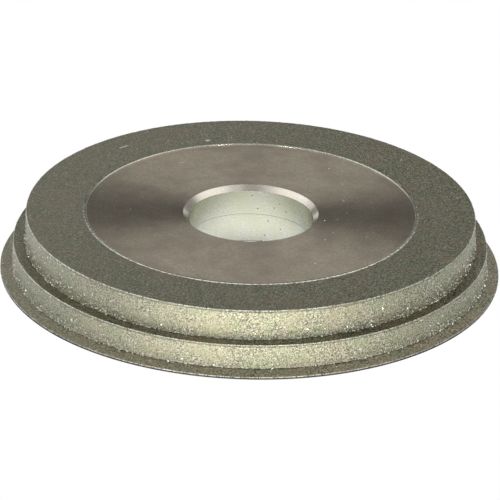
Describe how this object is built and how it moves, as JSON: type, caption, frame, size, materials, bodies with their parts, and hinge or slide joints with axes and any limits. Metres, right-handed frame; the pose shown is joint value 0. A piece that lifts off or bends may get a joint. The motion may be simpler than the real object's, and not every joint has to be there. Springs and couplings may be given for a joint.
{
  "type": "diamond grinding wheel",
  "caption": "Stepped diamond grinding wheel: turned steel discs with a plain spindle bore, and a bonded diamond layer on the face band, walls, tread and thin lip.",
  "frame": {"origin": "on the bore axis, at the back clamping face that the wheel rests on", "axes": "+Z along the bore axis, from the back face to the face with the wide diamond band. The wheel is round, so +X and +Y are any two square directions"},
  "size_m": [0.08, 0.08, 0.01],
  "materials": {
    "turned_steel": "turned bright, with fine circular facing marks",
    "silver_braze": "thin braze film between the two discs",
    "diamond_face": "nickel-bonded diamond grit, dressed flat and dull",
    "diamond_wall": "nickel-bonded diamond grit, coarse and sparkling"
  },
  "bodies": {
    "root": {"upper_core": "turned_steel", "lower_core": "turned_steel", "joint_braze": "silver_braze", "upper_face_grit": "diamond_face", "upper_rim_grit": "diamond_wall", "step_grit": "diamond_face", "lower_rim_grit": "diamond_wall", "lip_face_grit": "diamond_face", "lip_edge_grit": "diamond_wall"}
  },
  "joints": []
}
